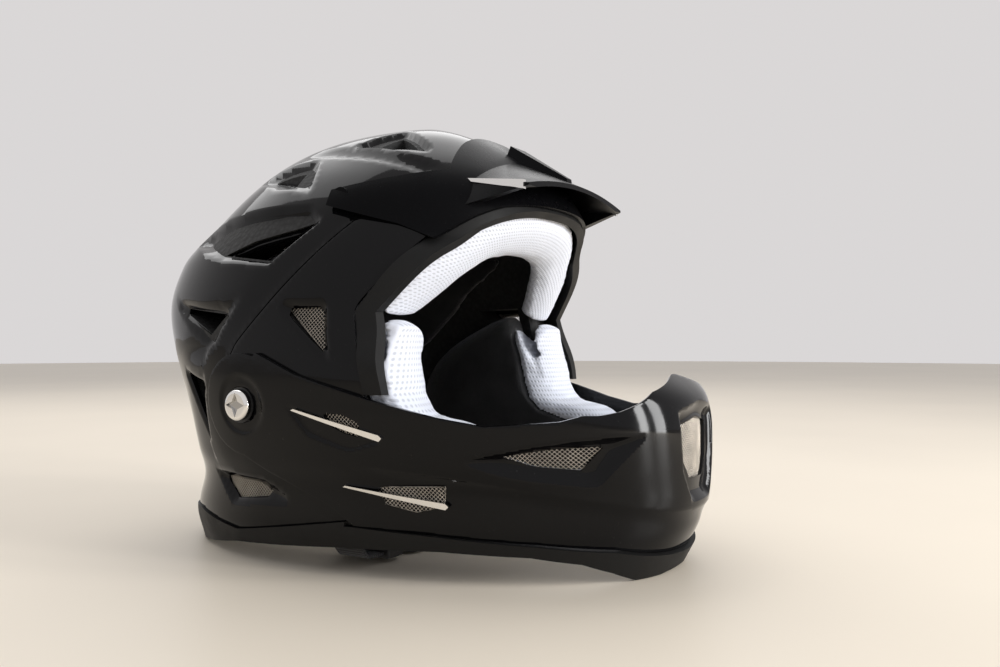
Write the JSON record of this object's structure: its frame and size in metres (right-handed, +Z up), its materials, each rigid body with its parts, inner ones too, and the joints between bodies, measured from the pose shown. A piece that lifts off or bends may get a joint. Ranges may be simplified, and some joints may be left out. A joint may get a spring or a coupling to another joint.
{
  "type": "downhill bike full face helmet",
  "caption": "Full face cycling helmet with vented shell, bolted chin guard, tilting visor, foam liner, removable pads and strap.",
  "frame": {"origin": "centre of the bounding box, on the plane that the helmet rests on", "axes": "+Z up, front of the helmet towards -Y, the wearer's left towards +X"},
  "size_m": [0.255, 0.3575, 0.2562],
  "materials": {
    "shell_gloss": "polished black plastic",
    "foam_black": "moulded bead foam",
    "wire_mesh": "fine woven wire",
    "bright_silver": "polished bright trim",
    "chrome": "polished",
    "steel": "plated",
    "trim_rubber": "satin rubber",
    "fabric_white": "white spacer mesh",
    "fabric_black": "brushed black pile",
    "webbing": "woven webbing",
    "buckle_plastic": "moulded plastic"
  },
  "bodies": {
    "helmet": {"blade_lower_left": "bright_silver", "blade_lower_right": "bright_silver", "blade_upper_left": "bright_silver", "blade_upper_right": "bright_silver", "brow_pad": "fabric_white", "buckle_plug": "buckle_plastic", "buckle_socket": "buckle_plastic", "cheek_pad_left": "fabric_white", "cheek_pad_right": "fabric_white", "chin_guard": "shell_gloss", "chin_inserts": "steel", "chin_liner_left": "foam_black", "chin_liner_right": "foam_black", "chin_washers": "steel", "crown_pad": "fabric_black", "eps_liner": "foam_black", "eyeport_trim": "trim_rubber", "grille_chin_front": "wire_mesh", "grille_chin_side_left": "wire_mesh", "grille_chin_side_right": "wire_mesh", "grille_rear_left": "wire_mesh", "grille_rear_right": "wire_mesh", "grille_side_left": "wire_mesh", "grille_side_right": "wire_mesh", "grille_slot_lower_left": "wire_mesh", "grille_slot_lower_right": "wire_mesh", "grille_slot_upper_left": "wire_mesh", "grille_slot_upper_right": "wire_mesh", "neck_pad": "fabric_black", "outer_shell": "shell_gloss", "rim_trim_front": "trim_rubber", "rim_trim_rear": "trim_rubber", "side_pad_left": "fabric_black", "side_pad_right": "fabric_black", "strap_left": "webbing", "strap_right": "webbing", "strap_rivets": "steel", "strap_slider": "buckle_plastic", "visor_pivot_pins": "steel"},
    "visor_body": {"visor": "shell_gloss", "visor_accent_left": "bright_silver", "visor_accent_right": "bright_silver", "visor_hood": "shell_gloss"},
    "screw_left": {"chin_screw_left": "chrome"},
    "screw_right": {"chin_screw_right": "chrome"}
  },
  "joints": [
    {"name": "visor_tilt", "type": "hinge", "parent": "helmet", "child": "visor_body", "pos_m": [0, -0.01074, 0.20019], "axis": [-1, 0, 0], "range_deg": [0, 10]},
    {"name": "screw_left_turn", "type": "hinge", "parent": "helmet", "child": "screw_left", "pos_m": [0.12, 0.03831, 0.08909], "axis": [1, 0, 0], "continuous": true},
    {"name": "screw_right_turn", "type": "hinge", "parent": "helmet", "child": "screw_right", "pos_m": [-0.12, 0.03831, 0.08909], "axis": [-1, 0, 0], "continuous": true}
  ]
}
